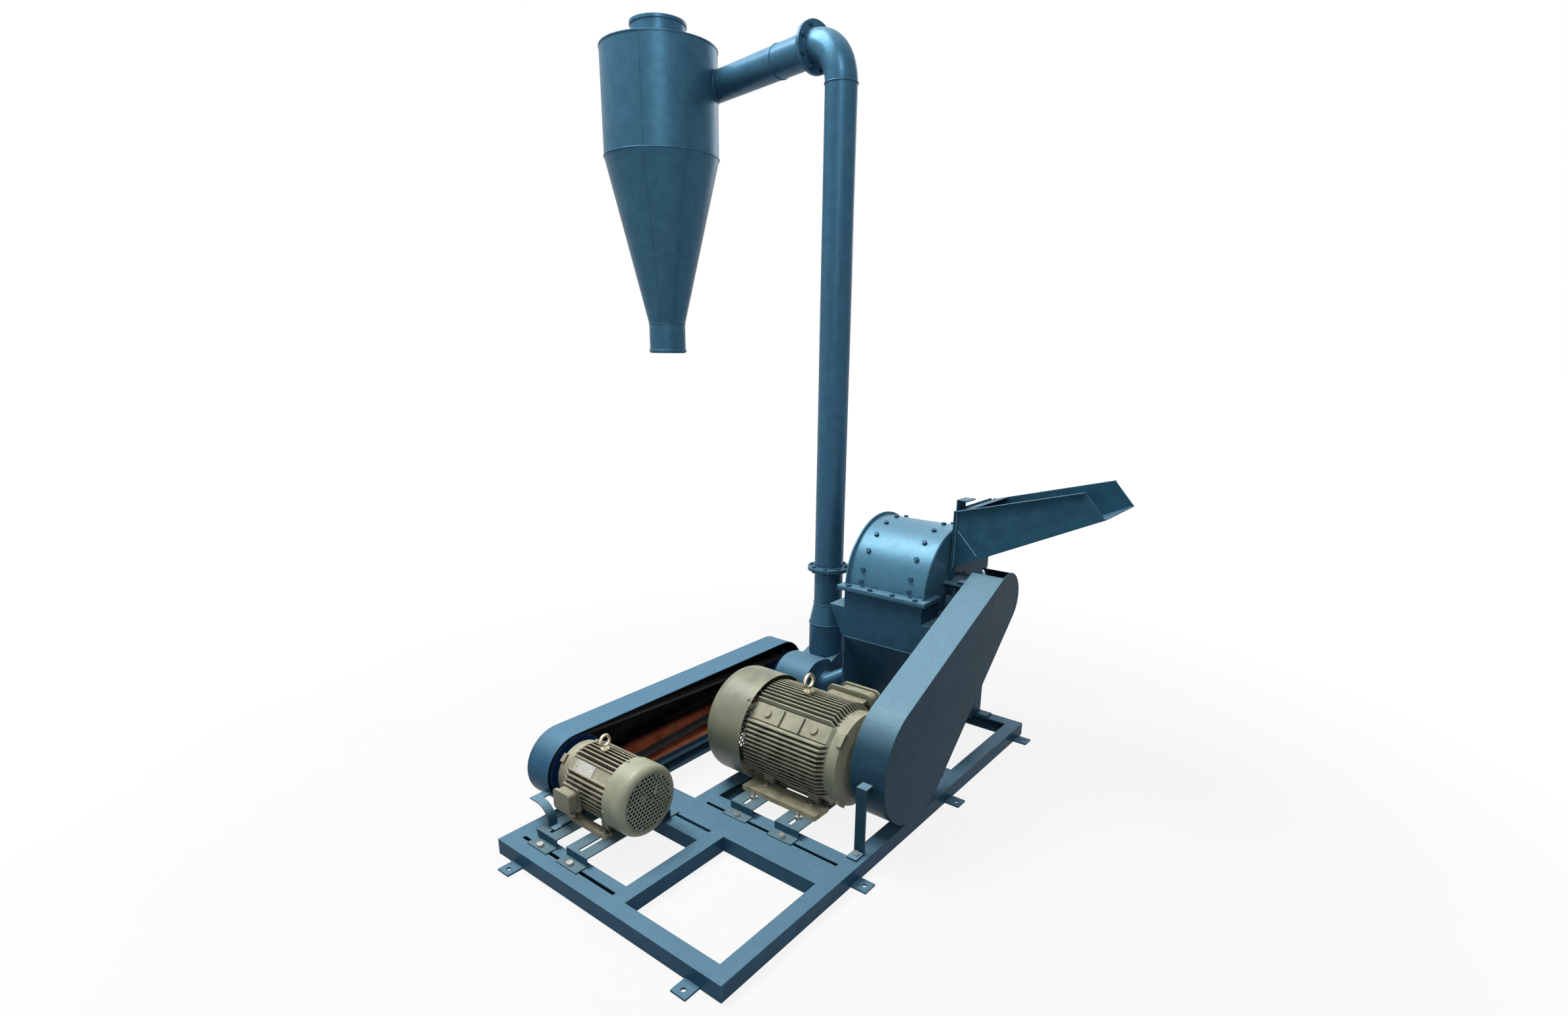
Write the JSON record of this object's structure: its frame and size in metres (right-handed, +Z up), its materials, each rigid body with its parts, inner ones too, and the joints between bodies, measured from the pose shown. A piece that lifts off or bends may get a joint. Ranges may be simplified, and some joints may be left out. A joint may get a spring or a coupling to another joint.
{
  "type": "hammer mill",
  "caption": "Belt-driven hammer mill on a channel base, with feed chute and slide gate, belt guards, suction blower and a tall riser to an overhead cyclone.",
  "frame": {"origin": "on the floor, at the middle of the base's four rails and of the front and back floor lugs", "axes": "+X to the feed chute and main belt guard, +Y from the blower motor to the mill, +Z up"},
  "size_m": [2.2149, 1.854, 2.7],
  "materials": {
    "base_rails": "gloss",
    "blower_bearing": "satin",
    "blower_belts": "matt",
    "blower_casing": "gloss",
    "blower_guard": "gloss",
    "blower_motor_cowl": "satin",
    "blower_motor_drive_shield": "matt",
    "blower_motor_fan": "matt",
    "blower_motor_housing": "matt",
    "blower_motor_pulley": "satin",
    "blower_motor_rotor": "satin",
    "blower_motor_slide_rails": "matt",
    "blower_motor_stator": "satin",
    "blower_motor_terminal_box": "satin",
    "blower_pulley": "satin",
    "blower_shaft": "satin",
    "cover_bolts": "satin",
    "cross_duct": "gloss",
    "cyclone_body": "gloss",
    "cyclone_lid": "gloss",
    "discharge_neck": "gloss",
    "elbow": "gloss",
    "feed_chute": "gloss",
    "flange_bolts": "satin",
    "floor_lugs": "gloss",
    "guard_struts": "gloss",
    "hammer_pins": "satin",
    "hammers_1": "matt",
    "hammers_2": "matt",
    "hammers_3": "matt",
    "hammers_4": "matt",
    "impeller": "matt",
    "inner_rails": "gloss",
    "lifting_eyes": "satin",
    "main_belts": "matt",
    "main_guard": "gloss",
    "main_motor_cowl": "satin",
    "main_motor_crossbars": "gloss",
    "main_motor_drive_shield": "matt",
    "main_motor_fan": "matt",
    "main_motor_housing": "matt",
    "main_motor_pulley": "satin",
    "main_motor_rotor": "satin",
    "main_motor_slide_rails": "matt",
    "main_motor_stator": "satin",
    "main_motor_terminal_box": "satin",
    "mill_bearings": "satin",
    "mill_cover": "gloss",
    "mill_liner": "matt",
    "mill_lower_body": "gloss",
    "mill_pulley": "satin",
    "mill_screen": "matt",
    "motor_bolts": "satin",
    "riser_pipe": "gloss",
    "rotor_discs": "matt",
    "rotor_shaft": "satin",
    "slide_gate": "gloss",
    "small_motor_crossbars": "gloss",
    "suction_duct": "gloss"
  },
  "bodies": {
    "machine": {"base_rails": "base_rails", "blower_bearing": "blower_bearing", "blower_belts": "blower_belts", "blower_casing": "blower_casing", "blower_guard": "blower_guard", "blower_motor_cowl": "blower_motor_cowl", "blower_motor_drive_shield": "blower_motor_drive_shield", "blower_motor_housing": "blower_motor_housing", "blower_motor_slide_rails": "blower_motor_slide_rails", "blower_motor_stator": "blower_motor_stator", "blower_motor_terminal_box": "blower_motor_terminal_box", "cover_bolts": "cover_bolts", "cross_duct": "cross_duct", "cyclone_body": "cyclone_body", "cyclone_lid": "cyclone_lid", "discharge_neck": "discharge_neck", "elbow": "elbow", "feed_chute": "feed_chute", "flange_bolts": "flange_bolts", "floor_lugs": "floor_lugs", "guard_struts": "guard_struts", "inner_rails": "inner_rails", "lifting_eyes": "lifting_eyes", "main_belts": "main_belts", "main_guard": "main_guard", "main_motor_cowl": "main_motor_cowl", "main_motor_crossbars": "main_motor_crossbars", "main_motor_drive_shield": "main_motor_drive_shield", "main_motor_housing": "main_motor_housing", "main_motor_slide_rails": "main_motor_slide_rails", "main_motor_stator": "main_motor_stator", "main_motor_terminal_box": "main_motor_terminal_box", "mill_bearings": "mill_bearings", "mill_cover": "mill_cover", "mill_liner": "mill_liner", "mill_lower_body": "mill_lower_body", "mill_screen": "mill_screen", "motor_bolts": "motor_bolts", "riser_pipe": "riser_pipe", "small_motor_crossbars": "small_motor_crossbars", "suction_duct": "suction_duct"},
    "main_motor_shaft": {"main_motor_rotor": "main_motor_rotor", "main_motor_fan": "main_motor_fan", "main_motor_pulley": "main_motor_pulley"},
    "mill_rotor": {"rotor_shaft": "rotor_shaft", "rotor_discs": "rotor_discs", "hammer_pins": "hammer_pins", "mill_pulley": "mill_pulley"},
    "hammer_row_1": {"hammers_1": "hammers_1"},
    "hammer_row_2": {"hammers_2": "hammers_2"},
    "hammer_row_3": {"hammers_3": "hammers_3"},
    "hammer_row_4": {"hammers_4": "hammers_4"},
    "blower_motor_shaft": {"blower_motor_rotor": "blower_motor_rotor", "blower_motor_fan": "blower_motor_fan", "blower_motor_pulley": "blower_motor_pulley"},
    "blower_rotor": {"blower_shaft": "blower_shaft", "impeller": "impeller", "blower_pulley": "blower_pulley"},
    "feed_gate": {"slide_gate": "slide_gate"}
  },
  "joints": [
    {"name": "mill_spin", "type": "hinge", "parent": "machine", "child": "mill_rotor", "pos_m": [0.122, 0.553, 0.65], "axis": [1, 0, 0], "continuous": true},
    {"name": "main_motor_spin", "type": "hinge", "parent": "machine", "child": "main_motor_shaft", "pos_m": [0.338, -0.07, 0.24], "axis": [1, 0, 0], "continuous": true},
    {"name": "blower_motor_spin", "type": "hinge", "parent": "machine", "child": "blower_motor_shaft", "pos_m": [-0.408, -0.604, 0.192], "axis": [1, 0, 0], "continuous": true},
    {"name": "blower_spin", "type": "hinge", "parent": "machine", "child": "blower_rotor", "pos_m": [-0.36, 0.433, 0.192], "axis": [1, 0, 0], "continuous": true},
    {"name": "feed_gate_slide", "type": "slide", "parent": "machine", "child": "feed_gate", "axis": [0, 0, 1], "range_m": [0, 0.11]},
    {"name": "hammer_swing_1", "type": "hinge", "parent": "mill_rotor", "child": "hammer_row_1", "pos_m": [0.122, 0.678, 0.65], "axis": [1, 0, 0], "continuous": true},
    {"name": "hammer_swing_2", "type": "hinge", "parent": "mill_rotor", "child": "hammer_row_2", "pos_m": [0.122, 0.553, 0.775], "axis": [1, 0, 0], "continuous": true},
    {"name": "hammer_swing_3", "type": "hinge", "parent": "mill_rotor", "child": "hammer_row_3", "pos_m": [0.122, 0.428, 0.65], "axis": [1, 0, 0], "continuous": true},
    {"name": "hammer_swing_4", "type": "hinge", "parent": "mill_rotor", "child": "hammer_row_4", "pos_m": [0.122, 0.553, 0.525], "axis": [1, 0, 0], "continuous": true}
  ],
  "couplings": [
    {"joint": "main_motor_spin", "follows": "mill_spin", "ratio": 0.625},
    {"joint": "blower_spin", "follows": "blower_motor_spin", "ratio": 2}
  ]
}
